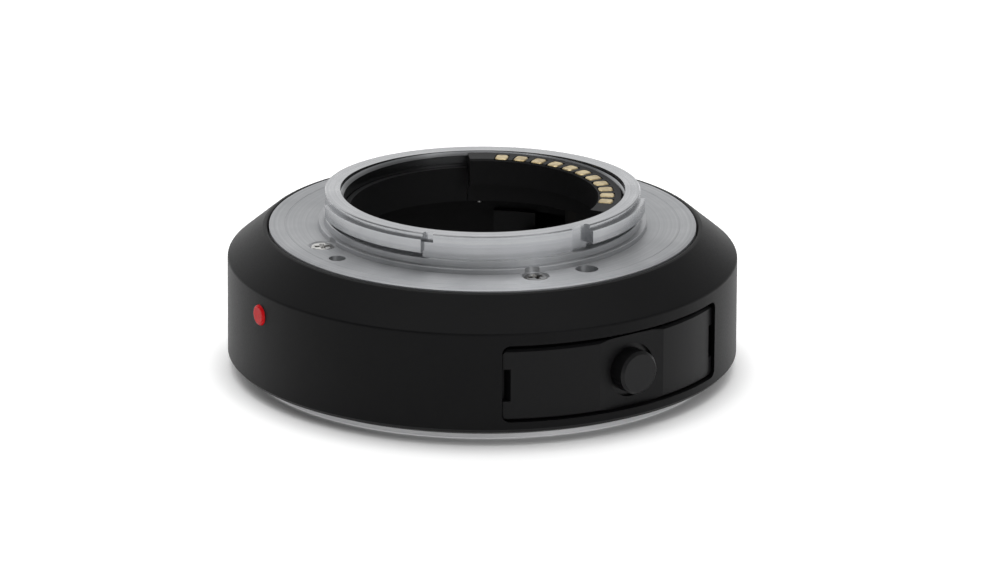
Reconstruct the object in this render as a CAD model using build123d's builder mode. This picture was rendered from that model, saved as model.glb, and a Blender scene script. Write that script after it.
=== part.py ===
"""Lens mount adapter: a short barrel that joins a lens-side bayonet to a camera-side bayonet.

All sizes are in millimetres and degrees. The optical axis is +Z and the origin lies on it, in the
lens-side flange face. Angles around the axis count from the release button, at -Y, towards +X.
"""
import os
from math import asin, atan, cos, degrees, radians, sin, sqrt

from build123d import *

os.makedirs("parts", exist_ok=True)

# Clearances
drop_gap = 0.1  # round a piece that drops into its seat
plate_gap = 0.2  # round the camera-side plate, where it shows as a dark line
slip_gap = 0.05  # round a pin that slides
screw_gap = 0.03  # round a screw's shank
seat_gap = 0.02  # under a curved piece on its curved seat
cut_over = 1.0  # how far a cutting shape runs past the face it opens
full_turn = 360.0

# Lens-side mount ring and its spring
throat_r = 25.3
ring_w = 5.7  # from the throat outwards
ring_t = 1.6
ring_edge = 0.2
tab_h = 1.4  # from the throat inwards
tab_span = 62.0
tab_angles = (30.0, 150.0, 270.0)
spring_step = 0.6  # from the throat out to the spring's ring
spring_w = 1.3
spring_t = 0.25
spring_mouth = 10.0  # opening of the spring's ring, at the lock pin
leaf_step = 0.8  # from the spring's ring in to its leaves
leaf_w = 1.0
leaf_length = 19.0
leaf_bow = 0.55
leaf_root_span = 5.0

# Barrel
flange_gap = 19.42  # from the lens-side flange face to the camera-side flange face
barrel_wall = 2.65  # outside the seat of the lens-side ring
shoulder_drop = 4.27  # shoulder edge, below the camera-side flange
shoulder_round = 0.4
land_drop = 0.22  # flat land at the top of the cone, below the camera-side flange
land_w = 0.5
land_edge = 0.15
wall_low_z = 2.18  # lower end of the barrel's straight wall
wall_edge = 0.49
skirt_drop = 0.52
lip_z = 0.8  # lower lip round the lens-side ring
lip_w = 0.12
bore_step = 0.4  # from the throat out to the inside of the barrel
shelf_t = 3.0  # shelf under the camera-side plate
shelf_gap = 0.4  # between the shelf and the feet of the liner
core_land = 0.5  # hollows that lighten the wall: seat left inside them
core_lip = 0.6  # seat left outside them
core_roof = 2.2  # left above them, up to the camera-side plate
core_span = 74.0
core_angles = (90.0, 180.0, 270.0)

# Camera-side mount
tube_in_r = 18.4
tube_wall = 2.45
rim_h = 4.88
rim_bevel = 0.44
rim_low_drop = 0.8  # back of the rim, which slopes down, below the front
rim_edge = 0.15
groove_wall = 1.2  # wall left inside the undercut below each lug
lug_w = 0.65
lug_t = 1.8
lug_drop = 0.7  # top of a lug, below the rim
lug_low_drop = 0.3  # top of the back lug, below the back of the rim
lug_starts = (-112.0, 5.8, 139.0)
lug_spans = (53.6, 42.8, 46.0)
notch_d = 0.65  # notch at the end of a lug
notch_h = 1.15
notch_spans = (4.0, 8.0)
pilot_w = 0.15
pilot_h = 1.63
boss_w = 0.7
boss_h = 0.68
step_edge = 0.1  # of the boss and the pilot
flange_w = 6.55
plate_t = 1.8
plate_edge = 0.12
plate_edge_w = 0.4
line_margin = 2.2  # fine turned line on the flange, from its edge
line_w = 0.2
line_d = 0.04
lock_hole_r = 1.5
lock_hole_d = 1.0
lock_hole_angle = -0.8
lock_hole_step = 1.7  # from the boss out to the hole's middle
dowel_hole_r = 1.12
dowel_hole_d = 1.0
dowel_step = 2.6
dowel_angle = -87.8

# Screws
flat_head_r = 1.7
flat_shank_r = 0.85
flat_sink = 0.08  # head, below the face
flat_length = 4.6
pan_head_r = 0.95
pan_head_t = 0.6
pan_shank_r = 0.5
pan_length = 1.9  # below the head
cross_length = 1.9
cross_w = 0.42
cross_d = 0.55
camera_screw_step = 1.5  # from the boss out to a screw's middle
camera_screw_angles = (-19.0, -101.4, 95.0, 161.0)
lens_screw_step = 3.0  # from the throat out to a screw's middle
lens_screw_angles = (45.0, 135.0, 225.0, 315.0)

# Camera-side contacts and light baffle
contact_angle = 89.5  # middle of both rows of contacts
block_span = 121.0
block_w = 3.1  # from the tube inwards
block_top_drop = 0.85  # below the rim
block_h = 3.6
block_edge = 0.25
liner_t = 0.7
foot_w = 2.4
foot_t = 0.72
baffle_top_drop = 2.7  # below the rim
baffle_gap_span = 0.4  # between the block and the baffle
block_screw_angles = (34.0, 145.0)
baffle_screw_angles = (189.0, 269.0, 349.0)
pad_count = 11
pad_pitch = 9.05
pad_step = 1.15  # from the block's inner face out to a pad's middle
pad_length = 2.0
pad_w = 1.85
pad_t = 0.5
pad_round = 0.4
pad_proud = 0.06

# Lens-side contacts
pin_count = 9
pin_pitch = 7.4
pin_r = 0.5
pin_step = 3.6  # from the tabs in to the row of pins
pin_tip_z = 5.0
pin_collar_r = 0.7
pin_collar_t = 0.5
pin_stop_h = 1.8  # step in a pin's hole, above the carrier's lower face
carrier_span = 76.0
carrier_in_w = 2.0  # from the row of pins inwards
carrier_out_w = 2.1  # from the row of pins outwards
carrier_low_z = 6.2
carrier_h = 5.8
ear_span = 12.0
ear_lap_span = 4.0  # of an ear, over the carrier
ear_lap = 1.0  # height of an ear that joins the carrier
ear_w = 1.9  # of an ear, inside the carrier's outer face
ear_gap = 0.5
coil_wall = 0.2
coil_sides = 6
end_gap = 0.03  # at the ends of a coil and under a collar

# Flexible circuit
flex_t = 0.2
flex_span = 44.0
flex_gap = 0.2
flex_margin = 0.3

# Release button, its cover and the lens lock pin
window_low_gap = 0.97  # above the lower end of the straight wall
window_top_gap = 1.55  # below the shoulder
window_w = 33.9
window_shift = -0.9  # window's middle, from the button's
window_d = 1.75
window_round = 1.0
cover_gap = 0.06  # round the cover, below it and at its right end
cover_left_gap = 0.3
cover_top_gap = 0.7
cover_sink = 0.5  # cover's face, below the barrel's
cover_bevel = 0.3
cover_notch_h = 4.4
cover_notch_w = 0.95
scoop_half_w = 5.15
scoop_d = 0.12
relief_d = 0.25  # inside of the cover, behind the button
relief_gap = 1.3
button_r = 2.9
button_gap = 0.7
button_proud = 0.9  # button's face, above the barrel's
button_bevel = 0.35
button_travel = 1.3
collar_lap = 0.5  # of the button's flange, behind the cover
collar_t = 0.55
pocket_wall = 0.6  # left between the pocket and the inside of the barrel
pocket_side_gap = 2.1
pocket_gap = 0.7
prong_w = 1.25
prong_gap = 0.12
prong_low_gap = 0.35
prong_end_gap = 0.3
wedge_gap = 0.06
lock_step = 3.0  # from the throat out to the lock pin's middle
lock_reach = 1.0  # tip, past the lens-side flange
lock_tip_r = 1.1
lock_tip_edge = 0.3
lock_body_r = 1.3
lock_collar_r = 1.7
lock_collar_t = 1.0
lock_collar_drop = 2.8  # underside of its collar, below the button's middle
lock_lift = 1.04
lock_guide = 0.7  # of its top end, in the guide hole at rest
lock_hole_gap = 0.2
wire_r = 0.18
wire_sides = 4
coil_r = 1.45
coil_turns = 4.0

# Index bead
bead_r = 1.4
bead_angle = -96.0
bead_z = 12.2
bead_d = 1.0
bead_proud = 0.3
bead_round = 0.35

# Radii and heights that follow from the sizes above
ring_r = throat_r + ring_w
tab_r = throat_r - tab_h
spring_in_r = throat_r + spring_step
spring_out_r = spring_in_r + spring_w
leaf_out_r = spring_in_r - leaf_step
leaf_in_r = leaf_out_r - leaf_w
lens_screw_circle_r = throat_r + lens_screw_step
lock_circle_r = throat_r + lock_step

ring_seat_r = ring_r + drop_gap
spring_seat_r = spring_out_r + drop_gap
spring_seat_z = ring_t + spring_t + slip_gap
barrel_r = ring_seat_r + barrel_wall
bore_r = throat_r + bore_step
shoulder_z = flange_gap - shoulder_drop
land_z = flange_gap - land_drop

tube_out_r = tube_in_r + tube_wall
rim_in_r = tube_in_r + rim_bevel
groove_r = tube_in_r + groove_wall
lug_r = tube_out_r + lug_w
notch_r = tube_out_r - notch_d
pilot_r = tube_out_r + pilot_w
boss_r = pilot_r + boss_w
plate_r = boss_r + flange_w
line_r = plate_r - line_margin
plate_seat_r = plate_r + plate_gap
land_r = plate_seat_r + land_w
rim_z = flange_gap + rim_h
rim_low_z = rim_z - rim_low_drop
pilot_z = flange_gap + pilot_h
boss_z = flange_gap + boss_h
lug_top_z = rim_z - lug_drop
lug_low_z = lug_top_z - lug_t
lug_tops = (lug_top_z, lug_top_z, rim_low_z - lug_low_drop)
notch_starts = (lug_starts[0] + lug_spans[0], lug_starts[1] - notch_spans[1])
notch_lows = (rim_z - notch_h, pilot_z)
rim_slope = atan(rim_low_drop / tube_out_r)
plate_low_z = flange_gap - plate_t
shelf_low_z = plate_low_z - shelf_t
head_hole_r = flat_head_r + flat_sink + slip_gap

liner_out_r = tube_in_r - drop_gap
liner_in_r = liner_out_r - liner_t
foot_r = tube_in_r + foot_w
foot_low_z = plate_low_z - foot_t
foot_screw_circle_r = (liner_out_r + foot_r) / 2
shelf_r = foot_r + shelf_gap
block_in_r = tube_in_r - block_w
block_top_z = rim_z - block_top_drop
block_low_z = block_top_z - block_h
baffle_top_z = rim_z - baffle_top_drop
pad_circle_r = block_in_r + pad_step

pin_circle_r = tab_r - pin_step
carrier_in_r = pin_circle_r - carrier_in_w
carrier_out_r = pin_circle_r + carrier_out_w
carrier_top_z = carrier_low_z + carrier_h
pin_stop_z = carrier_low_z + pin_stop_h
ear_in_r = carrier_out_r - ear_w
ear_out_r = bore_r - ear_gap
ear_low_z = carrier_top_z - ear_lap
ear_h = shelf_low_z - ear_low_z
ear_screw_circle_r = (shelf_r + bore_r) / 2

window_low_z = wall_low_z + window_low_gap
window_top_z = shoulder_z - window_top_gap
window_h = window_top_z - window_low_z
window_z = (window_low_z + window_top_z) / 2
cover_low_z = window_low_z + cover_gap
cover_top_z = window_top_z - cover_top_gap
cover_z = (cover_low_z + cover_top_z) / 2
window_floor_r = barrel_r - window_d
cover_r = barrel_r - cover_sink
relief_y = window_floor_r + relief_d
button_hole_r = button_r + button_gap
button_face_y = barrel_r + button_proud
collar_r = button_hole_r + collar_lap
pocket_y = bore_r + pocket_wall
pocket_half_w = collar_r + pocket_side_gap
pocket_low_z = cover_z - collar_r - pocket_gap
pocket_top_z = cover_z + collar_r + pocket_gap
lock_collar_z = cover_z - lock_collar_drop
lock_top_z = pocket_top_z + lock_guide

# Bottom-up and top-down alignment of cylinders and boxes
upwards = (Align.CENTER, Align.CENTER, Align.MIN)
downwards = (Align.CENTER, Align.CENTER, Align.MAX)


def around(angle, radius, height=0.0):
    """Point at an angle from the release button, a radius and a height."""
    turn = radians(angle)
    return (radius * sin(turn), -radius * cos(turn), height)


def half_plane(angle):
    """Sketch plane through the optical axis: local x is the radius, local y the height."""
    return Plane(origin=(0, 0, 0), x_dir=around(angle, 1), z_dir=around(angle - 90, 1))


def sector(r_in, r_out, z_low, z_high, start, span, mode=Mode.ADD):
    """Turn a rectangle of radius and height through an angle about the optical axis."""
    with BuildSketch(half_plane(start)) as section:
        with Locations(((r_in + r_out) / 2, (z_low + z_high) / 2)):
            Rectangle(r_out - r_in, z_high - z_low)
    revolve(section.sketch, axis=Axis.Z, revolution_arc=span, mode=mode)


def from_above(angles, radius, height):
    """Places in a face that looks up, for holes and screws that point down."""
    return [Location(around(angle, radius, height)) for angle in angles]


def from_below(angles, radius, height):
    """Places in a face that looks down, for holes and screws that point up."""
    return [
        Location(Plane(origin=around(angle, radius, height), z_dir=(0, 0, -1))) for angle in angles
    ]


def finish(piece, name):
    """Label a finished piece and write it out."""
    piece.part.label = name
    export_step(piece.part, f"parts/{name}.step")


# Places of the screws, in the faces that their heads sink into or lie on
camera_screw_places = from_above(camera_screw_angles, boss_r + camera_screw_step, flange_gap)
lens_screw_places = from_below(lens_screw_angles, lens_screw_circle_r, 0)
block_screw_places = from_below(block_screw_angles, foot_screw_circle_r, foot_low_z)
baffle_screw_places = from_below(baffle_screw_angles, foot_screw_circle_r, foot_low_z)
ear_turn = (carrier_span + ear_span) / 2
ear_angles = (contact_angle - ear_turn, contact_angle + ear_turn)
ear_screw_places = from_below(ear_angles, ear_screw_circle_r, ear_low_z)

# Shape of the cover's window: straight-sided, with a floor concentric with the barrel
with BuildPart() as window_shape:
    with BuildSketch(Plane.XZ):
        with Locations((window_shift, window_z)):
            RectangleRounded(window_w, window_h, window_round)
    extrude(amount=barrel_r + cut_over)
    Cylinder(window_floor_r, 2 * (window_z + window_h), mode=Mode.SUBTRACT)

# Barrel: turned from one piece, then the window, the button's pocket, the hollows and the holes
with BuildPart() as main_body:
    with BuildSketch(Plane.XZ) as section:
        with BuildLine():
            Polyline(
                (ring_seat_r, lip_z),
                (ring_seat_r + lip_w, lip_z),
                (barrel_r - wall_edge, wall_low_z - skirt_drop),
                (barrel_r, wall_low_z),
                (barrel_r, shoulder_z),
                (land_r, land_z),
                (plate_seat_r + land_edge, land_z),
                (plate_seat_r, land_z - land_edge),
                (plate_seat_r, plate_low_z),
                (shelf_r, plate_low_z),
                (shelf_r, shelf_low_z),
                (bore_r, shelf_low_z),
                (bore_r, spring_seat_z),
                (spring_seat_r, spring_seat_z),
                (spring_seat_r, ring_t),
                (ring_seat_r, ring_t),
                close=True,
            )
        make_face()
        fillet(section.vertices().sort_by_distance((barrel_r, shoulder_z))[0], shoulder_round)
        chamfer(section.vertices().sort_by_distance((land_r, land_z))[0], land_edge)
    revolve(axis=Axis.Z)
    add(window_shape.part, mode=Mode.SUBTRACT)
    for core_angle in core_angles:
        sector(
            spring_seat_r + core_land,
            ring_seat_r - core_lip,
            ring_t,
            plate_low_z - core_roof,
            core_angle - core_span / 2,
            core_span,
            Mode.SUBTRACT,
        )
    with Locations((0, -(pocket_y + cover_r) / 2, cover_z)):
        Box(
            2 * pocket_half_w,
            cover_r - pocket_y,
            pocket_top_z - pocket_low_z,
            mode=Mode.SUBTRACT,
        )
    with Locations(*from_above([0], lock_circle_r, ring_t)):
        Cylinder(
            lock_collar_r + lock_hole_gap, pocket_low_z - ring_t, align=upwards, mode=Mode.SUBTRACT
        )
    with Locations(*from_above([0], lock_circle_r, pocket_top_z)):
        Cylinder(
            lock_tip_r + slip_gap, lock_guide + 2 * lock_lift, align=upwards, mode=Mode.SUBTRACT
        )
    with Locations(*camera_screw_places):
        Hole(flat_shank_r + screw_gap, plate_t + shelf_t)
    with Locations(*from_below(lens_screw_angles, lens_screw_circle_r, ring_t)):
        Hole(flat_shank_r + screw_gap, flat_length - ring_t + cut_over)
    with Locations(*from_below(ear_angles, ear_screw_circle_r, shelf_low_z)):
        Hole(pan_shank_r + screw_gap, pan_length)
    with Locations(Location(half_plane(bead_angle + 90).offset(barrel_r)) * Pos(0, bead_z)):
        Hole(bead_r + seat_gap, bead_d + seat_gap)
finish(main_body, "main_body")

# Camera-side mount: flange, boss, pilot and bayonet tube in one turned piece, with milled lugs
with BuildPart() as camera_mount:
    with BuildSketch(Plane.XZ):
        with BuildLine():
            Polyline(
                (tube_in_r, plate_low_z),
                (plate_r, plate_low_z),
                (plate_r, flange_gap - plate_edge),
                (plate_r - plate_edge_w, flange_gap),
                (line_r + line_w, flange_gap),
                (line_r + line_w / 2, flange_gap - line_d),
                (line_r, flange_gap),
                (boss_r, flange_gap),
                (boss_r, boss_z - step_edge),
                (boss_r - step_edge, boss_z),
                (pilot_r, boss_z),
                (pilot_r, pilot_z - step_edge),
                (pilot_r - step_edge, pilot_z),
                (tube_out_r, pilot_z),
                (tube_out_r, rim_z - rim_edge),
                (tube_out_r - rim_edge, rim_z),
                (rim_in_r, rim_z),
                (rim_in_r, rim_low_z),
                (tube_in_r, rim_low_z - rim_bevel),
                close=True,
            )
        make_face()
    revolve(axis=Axis.Z)
    low_start = lug_starts[1] + lug_spans[1]
    low_angle = (low_start + full_turn + lug_starts[0]) / 2
    slope_up = around(low_angle, sin(rim_slope), cos(rim_slope))
    with Locations(Location(Plane(origin=(0, 0, rim_z), z_dir=slope_up))):
        Box(4 * lug_r, 4 * lug_r, 2 * cut_over, align=upwards, mode=Mode.SUBTRACT)
    for start, span, top_z in zip(lug_starts, lug_spans, lug_tops):
        sector(groove_r, lug_r, pilot_z, lug_low_z, start, span, Mode.SUBTRACT)
        sector(groove_r, lug_r, lug_low_z, top_z, start, span)
    for start, span, low_z in zip(notch_starts, notch_spans, notch_lows):
        sector(notch_r, lug_r, low_z, rim_z, start, span, Mode.SUBTRACT)
    with Locations(*camera_screw_places):
        CounterSinkHole(flat_shank_r + slip_gap, head_hole_r, plate_t, counter_sink_angle=90)
        Cylinder(head_hole_r, boss_h, align=upwards, mode=Mode.SUBTRACT)
    with Locations(*from_above([lock_hole_angle], boss_r + lock_hole_step, flange_gap)):
        Hole(lock_hole_r, lock_hole_d)
    with Locations(*from_above([dowel_angle], boss_r + dowel_step, flange_gap)):
        Hole(dowel_hole_r, dowel_hole_d)
    foot_angles = block_screw_angles + baffle_screw_angles
    with Locations(*from_below(foot_angles, foot_screw_circle_r, plate_low_z)):
        Hole(pan_shank_r + screw_gap, pan_length)
finish(camera_mount, "camera_mount")

# Countersunk screw with a cross recess, its head's face at height zero
with BuildPart() as flat_screw:
    with BuildSketch(Plane.XZ):
        with BuildLine():
            Polyline(
                (0, 0),
                (flat_head_r, 0),
                (flat_shank_r, flat_shank_r - flat_head_r),
                (flat_shank_r, -flat_length),
                (0, -flat_length),
                close=True,
            )
        make_face()
    revolve(axis=Axis.Z)
    Box(cross_length, cross_w, 2 * cross_d, mode=Mode.SUBTRACT)
    Box(cross_w, cross_length, 2 * cross_d, mode=Mode.SUBTRACT)

# Pan-head screw with a cross recess, the underside of its head at height zero
with BuildPart() as pan_screw:
    Cylinder(pan_head_r, pan_head_t, align=upwards)
    Cylinder(pan_shank_r, pan_length, align=downwards)
    with Locations((0, 0, pan_head_t)):
        Box(pan_head_r, cross_w, cross_d, mode=Mode.SUBTRACT)
        Box(cross_w, pan_head_r, cross_d, mode=Mode.SUBTRACT)

with BuildPart() as camera_mount_screws:
    with Locations(*[place * Pos(0, 0, -flat_sink) for place in camera_screw_places]):
        add(flat_screw.part)
finish(camera_mount_screws, "camera_mount_screws")

with BuildPart() as lens_mount_screws:
    with Locations(*[place * Pos(0, 0, -flat_sink) for place in lens_screw_places]):
        add(flat_screw.part)
finish(lens_mount_screws, "lens_mount_screws")

with BuildPart() as contact_block_screws:
    with Locations(*block_screw_places):
        add(pan_screw.part)
finish(contact_block_screws, "contact_block_screws")

with BuildPart() as baffle_screws:
    with Locations(*baffle_screw_places):
        add(pan_screw.part)
finish(baffle_screws, "baffle_screws")

# The carrier's screws are longer: they run up through its ears into the shelf of the barrel
with BuildPart() as carrier_screws:
    with Locations(*ear_screw_places):
        add(pan_screw.part)
        Cylinder(pan_shank_r, ear_h + pan_length / 2, align=downwards)
finish(carrier_screws, "carrier_screws")

# Camera-side contact block: a moulded arc inside the bayonet tube, with a screwed foot
with BuildPart() as camera_contact_block:
    with BuildSketch(half_plane(contact_angle - block_span / 2)):
        with BuildLine():
            Polyline(
                (block_in_r, block_low_z),
                (block_in_r, block_top_z - block_edge),
                (block_in_r + block_edge, block_top_z),
                (liner_out_r, block_top_z),
                (liner_out_r, plate_low_z),
                (foot_r, plate_low_z),
                (foot_r, foot_low_z),
                (liner_in_r, foot_low_z),
                (liner_in_r, block_low_z),
                close=True,
            )
        make_face()
    revolve(axis=Axis.Z, revolution_arc=block_span)
    pad_range = pad_pitch * (pad_count - 1)
    pad_start = contact_angle - 90 - pad_range / 2
    with Locations((0, 0, block_top_z)):
        with PolarLocations(pad_circle_r, pad_count, pad_start, pad_range, endpoint=True):
            Box(
                pad_length + 2 * seat_gap,
                pad_w + 2 * seat_gap,
                2 * (pad_t - pad_proud),
                mode=Mode.SUBTRACT,
            )
    with Locations(*block_screw_places):
        Hole(pan_shank_r + slip_gap, foot_t)
finish(camera_contact_block, "camera_contact_block")

with BuildPart() as camera_contact_pads:
    with Locations((0, 0, block_top_z + pad_proud)):
        with PolarLocations(pad_circle_r, pad_count, pad_start, pad_range, endpoint=True):
            Box(pad_length, pad_w, pad_t, align=downwards)
    fillet(camera_contact_pads.edges().filter_by(Axis.Z), pad_round)
finish(camera_contact_pads, "camera_contact_pads")

# Light baffle: the rest of the black liner inside the bayonet tube
with BuildPart() as light_baffle:
    with BuildSketch(half_plane(contact_angle + block_span / 2 + baffle_gap_span)):
        with BuildLine():
            Polyline(
                (liner_in_r, foot_low_z),
                (foot_r, foot_low_z),
                (foot_r, plate_low_z),
                (liner_out_r, plate_low_z),
                (liner_out_r, baffle_top_z),
                (liner_in_r, baffle_top_z),
                close=True,
            )
        make_face()
    revolve(axis=Axis.Z, revolution_arc=full_turn - block_span - 2 * baffle_gap_span)
    with Locations(*baffle_screw_places):
        Hole(pan_shank_r + slip_gap, foot_t)
finish(light_baffle, "light_baffle")

# Lens-side mount ring: a flat ring with three inward tabs
with BuildPart() as lens_mount:
    with BuildSketch(Plane.XZ):
        with BuildLine():
            Polyline(
                (throat_r, 0),
                (ring_r - ring_edge, 0),
                (ring_r, ring_edge),
                (ring_r, ring_t),
                (throat_r, ring_t),
                close=True,
            )
        make_face()
    revolve(axis=Axis.Z)
    for tab_angle in tab_angles:
        sector(tab_r, throat_r + cut_over, 0, ring_t, tab_angle - tab_span / 2, tab_span)
    with Locations(*lens_screw_places):
        CounterSinkHole(flat_shank_r + slip_gap, head_hole_r, ring_t, counter_sink_angle=90)
    with Locations(*from_above([0], lock_circle_r, ring_t)):
        Hole(lock_tip_r + slip_gap, ring_t)
finish(lens_mount, "lens_mount")


def spring_leaf(angle):
    """One bowed leaf of the lens-side spring, across the middle of a tab."""
    tab_plane = Plane(origin=(0, 0, 0), x_dir=around(angle + 90, 1), z_dir=around(angle, 1))
    low_z = ring_t
    top_z = ring_t + spring_t
    end_x = leaf_length / 2
    reach = 2 * (top_z + leaf_bow + cut_over)
    with BuildPart() as leaf:
        with BuildSketch(tab_plane):
            with BuildLine():
                ThreePointArc((-end_x, low_z), (0, low_z + leaf_bow), (end_x, low_z))
                Line((end_x, low_z), (end_x, top_z))
                ThreePointArc((end_x, top_z), (0, top_z + leaf_bow), (-end_x, top_z))
                Line((-end_x, top_z), (-end_x, low_z))
            make_face()
        extrude(amount=leaf_out_r + cut_over)
        Cylinder(leaf_out_r, reach, mode=Mode.INTERSECT)
        Cylinder(leaf_in_r, reach, mode=Mode.SUBTRACT)
    return leaf.part


# Lens-side spring: an open ring behind the mount ring, with a bowed leaf over each tab
with BuildPart() as lens_mount_spring:
    spring_top_z = ring_t + spring_t
    ring_span = full_turn - spring_mouth
    sector(spring_in_r, spring_out_r, ring_t, spring_top_z, spring_mouth / 2, ring_span)
    for tab_angle in tab_angles:
        add(spring_leaf(tab_angle))
        root_start = tab_angle + degrees(asin(leaf_length / 2 / leaf_out_r)) - leaf_root_span
        sector(leaf_in_r, spring_out_r, ring_t, spring_top_z, root_start, leaf_root_span)
finish(lens_mount_spring, "lens_mount_spring")

# Lens-side contact carrier: a moulded arc with two ears that hang from the barrel's shelf
pin_angles = [contact_angle + pin_pitch * (n - (pin_count - 1) / 2) for n in range(pin_count)]
carrier_start = contact_angle - carrier_span / 2
with BuildPart() as lens_contact_carrier:
    sector(carrier_in_r, carrier_out_r, carrier_low_z, carrier_top_z, carrier_start, carrier_span)
    for ear_start in (carrier_start - ear_span, carrier_start + carrier_span - ear_lap_span):
        sector(ear_in_r, ear_out_r, ear_low_z, shelf_low_z, ear_start, ear_span + ear_lap_span)
    with Locations(*from_above(pin_angles, pin_circle_r, carrier_top_z)):
        CounterBoreHole(
            pin_r + slip_gap, pin_collar_r + slip_gap, carrier_top_z - pin_stop_z, carrier_h
        )
    with Locations(*ear_screw_places):
        Hole(pan_shank_r + slip_gap, ear_h)
finish(lens_contact_carrier, "lens_contact_carrier")

# Lens-side contacts: gold-plated pins with a collar, each pushed down by a small coil
collar_low_z = pin_stop_z + end_gap
collar_top_z = collar_low_z + pin_collar_t
for number, angle in enumerate(pin_angles, start=1):
    with BuildPart() as contact_pin:
        with BuildSketch(Plane.XZ) as section:
            with BuildLine():
                Polyline(
                    (0, pin_tip_z),
                    (pin_r, pin_tip_z),
                    (pin_r, collar_low_z),
                    (pin_collar_r, collar_low_z),
                    (pin_collar_r, collar_top_z),
                    (0, collar_top_z),
                    close=True,
                )
            make_face()
            chamfer(section.vertices().sort_by_distance((pin_r, pin_tip_z))[0], pin_r / 2)
        revolve(axis=Axis.Z)
    contact_pin.part = contact_pin.part.moved(Location(around(angle, pin_circle_r)))
    finish(contact_pin, f"lens_contact_pin_{number}")

# Their coils: plain six-sided tubes of a coil's size
coil_low_z = collar_top_z + end_gap
with BuildPart() as contact_coils:
    with BuildSketch(Plane.XY.offset(coil_low_z)):
        with Locations(*[around(angle, pin_circle_r) for angle in pin_angles]):
            RegularPolygon(pin_collar_r, coil_sides)
            RegularPolygon(pin_collar_r - coil_wall, coil_sides, mode=Mode.SUBTRACT)
    extrude(amount=carrier_top_z - coil_low_z)
finish(contact_coils, "contact_coils")

# Flexible circuit: one folded strip from the tops of the pins to the foot of the contact block
flex_start = contact_angle - flex_span / 2
flex_r = shelf_r - flex_gap
flex_in_r = min(carrier_in_r + flex_margin, flex_r - flex_t)
flex_out_r = max(pin_circle_r + pin_collar_r, flex_r)
fold_r = min(liner_in_r + flex_margin, flex_r - flex_t)
with BuildPart() as flex_circuit:
    sector(flex_in_r, flex_out_r, carrier_top_z, carrier_top_z + flex_t, flex_start, flex_span)
    sector(flex_r - flex_t, flex_r, carrier_top_z, foot_low_z, flex_start, flex_span)
    sector(fold_r, flex_r, foot_low_z - flex_t, foot_low_z, flex_start, flex_span)
finish(flex_circuit, "flex_circuit")

# Cover of the button: a curved plate in the window, with a finger scoop and a notch at each end.
# Its plan rounds the ends, its turned section bevels the long edges and its front view cuts the notches
scoop_chord_y = sqrt(cover_r**2 - scoop_half_w**2)
scoop_r = (scoop_half_w**2 + scoop_d**2) / (2 * scoop_d)
cover_w = window_w - cover_left_gap - cover_gap
cover_h = cover_top_z - cover_low_z
cover_x = window_shift + (cover_left_gap - cover_gap) / 2
with BuildPart() as button_cover:
    with BuildSketch(Plane.XY.offset(cover_low_z)) as plan:
        with Locations((cover_x, 0)):
            Rectangle(cover_w, barrel_r, align=(Align.CENTER, Align.MAX))
        Circle(cover_r, mode=Mode.INTERSECT)
        fillet(plan.vertices().sort_by(Axis.Y)[:2], cover_bevel)
    extrude(amount=cover_h)
    with BuildSketch(half_plane(-90)):
        with BuildLine():
            Polyline(
                (window_floor_r + seat_gap, cover_low_z),
                (cover_r - cover_bevel, cover_low_z),
                (cover_r, cover_low_z + cover_bevel),
                (cover_r, cover_top_z - cover_bevel),
                (cover_r - cover_bevel, cover_top_z),
                (window_floor_r + seat_gap, cover_top_z),
                close=True,
            )
        make_face()
    revolve(axis=Axis.Z, revolution_arc=full_turn / 2, mode=Mode.INTERSECT)
    with BuildSketch(Plane.XZ):
        with Locations((cover_x, cover_z)):
            RectangleRounded(cover_w, cover_h, window_round)
        with Locations((cover_x - cover_w / 2, cover_z), (cover_x + cover_w / 2, cover_z)):
            Rectangle(2 * cover_notch_w, cover_notch_h, mode=Mode.SUBTRACT)
    extrude(amount=barrel_r, mode=Mode.INTERSECT)
    with Locations((0, -scoop_chord_y + scoop_d - scoop_r, cover_z)):
        Cylinder(scoop_r, window_h, mode=Mode.SUBTRACT)
    with Locations((0, -relief_y, cover_z)):
        Box(
            2 * (collar_r + relief_gap),
            relief_y,
            window_h,
            align=(Align.CENTER, Align.MIN, Align.CENTER),
            mode=Mode.SUBTRACT,
        )
    with Locations(Location(Plane(origin=(0, -barrel_r, cover_z), z_dir=(0, -1, 0)))):
        Hole(button_hole_r, barrel_r - relief_y + cut_over)
finish(button_cover, "button_cover")

# Release button: a round cap, a collar behind the cover and two sloped prongs under the pin's collar
collar_back_y = relief_y - drop_gap - collar_t
prong_in = lock_body_r + prong_gap
prong_low_z = pocket_low_z + prong_low_gap
prong_end_y = pocket_y + button_travel + prong_end_gap
touch_y = lock_circle_r + sqrt(lock_collar_r**2 - prong_in**2)
slope = lock_lift / button_travel


def wedge_z(y):
    """Height of the prongs' sloped top at a distance from the optical axis."""
    return lock_collar_z - wedge_gap + slope * (y - touch_y)


with BuildPart() as release_button:
    with BuildSketch(Plane.XZ.offset(collar_back_y)):
        with Locations((0, cover_z)):
            Circle(collar_r)
    extrude(amount=collar_t)
    with BuildSketch(Plane.XZ.offset(collar_back_y)):
        with Locations((0, cover_z)):
            Circle(button_r)
    extrude(amount=button_face_y - collar_back_y)
    chamfer(release_button.faces().sort_by(Axis.Y)[0].edges(), button_bevel)
    for side_x in (prong_in, -prong_in - prong_w):
        with BuildSketch(Plane.YZ.offset(side_x)):
            with BuildLine():
                Polyline(
                    (-collar_back_y, prong_low_z),
                    (-prong_end_y, prong_low_z),
                    (-prong_end_y, wedge_z(prong_end_y)),
                    (-collar_back_y, wedge_z(collar_back_y)),
                    close=True,
                )
            make_face()
        extrude(amount=prong_w)
finish(release_button, "release_button")

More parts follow.
